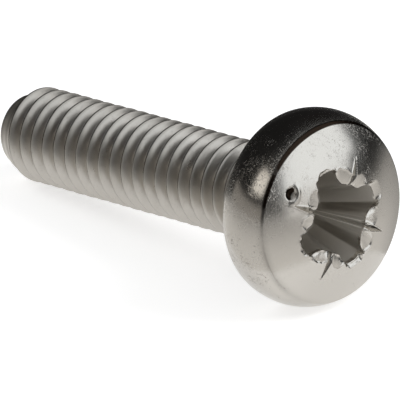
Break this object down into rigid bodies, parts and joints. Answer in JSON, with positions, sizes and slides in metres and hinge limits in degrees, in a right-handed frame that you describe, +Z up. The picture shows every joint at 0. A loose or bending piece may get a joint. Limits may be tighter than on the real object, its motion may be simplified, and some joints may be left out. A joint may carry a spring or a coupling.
{
  "type": "machine screw",
  "caption": "Machine screw with a raised cheese head, a cross recess with index marks and a coarse metric thread up to the head.",
  "frame": {"origin": "on the ground, under the middle of the lying screw", "axes": "+X towards the head, +Z up; the screw's own axis leans up towards the head by about 7 degrees, as the lying screw rests on its head's rim and the thread's end"},
  "size_m": [0.0196, 0.008, 0.008],
  "materials": {
    "stainless": "polished stainless steel, tumbled, slightly warm"
  },
  "bodies": {
    "root": {"screw": "stainless"}
  },
  "joints": []
}
